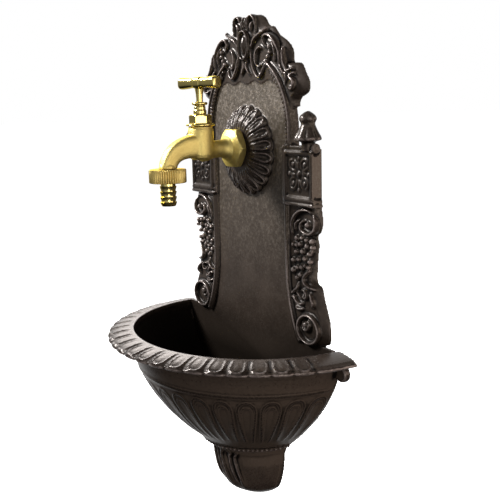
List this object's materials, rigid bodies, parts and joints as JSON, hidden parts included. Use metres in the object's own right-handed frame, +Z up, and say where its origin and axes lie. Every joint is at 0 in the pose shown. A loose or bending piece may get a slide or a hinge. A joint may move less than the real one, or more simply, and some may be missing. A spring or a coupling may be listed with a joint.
{
  "type": "wall fountain",
  "caption": "Wall-hung cast iron fountain: arched back plate with scrolled crest and carved pilasters, half round basin on a fluted stem, and a brass bib tap with a turning T handle.",
  "frame": {"origin": "on the flat back of the plate, where it lies on the wall, in the middle of its width and 200 mm above the basin's rim", "axes": "+X to the right as seen from the front, +Y into the wall so the front faces -Y, +Z up"},
  "size_m": [0.2968, 0.1438, 0.458],
  "materials": {
    "iron": "painted dark bronze black, semi gloss, rubbed pale on the edges",
    "brass": "polished where turned, cast texture on the body"
  },
  "bodies": {
    "fountain": {"back_plate": "iron", "basin": "iron", "tap_body": "brass", "tap_bonnet": "brass", "hose_union_nut": "brass", "hose_tail": "brass"},
    "handle": {"tee_handle": "brass"}
  },
  "joints": [
    {"name": "handle_turn", "type": "hinge", "parent": "fountain", "child": "handle", "pos_m": [0, -0.0574, 0.02], "axis": [0, 0, 1], "range_deg": [0, 810]}
  ]
}
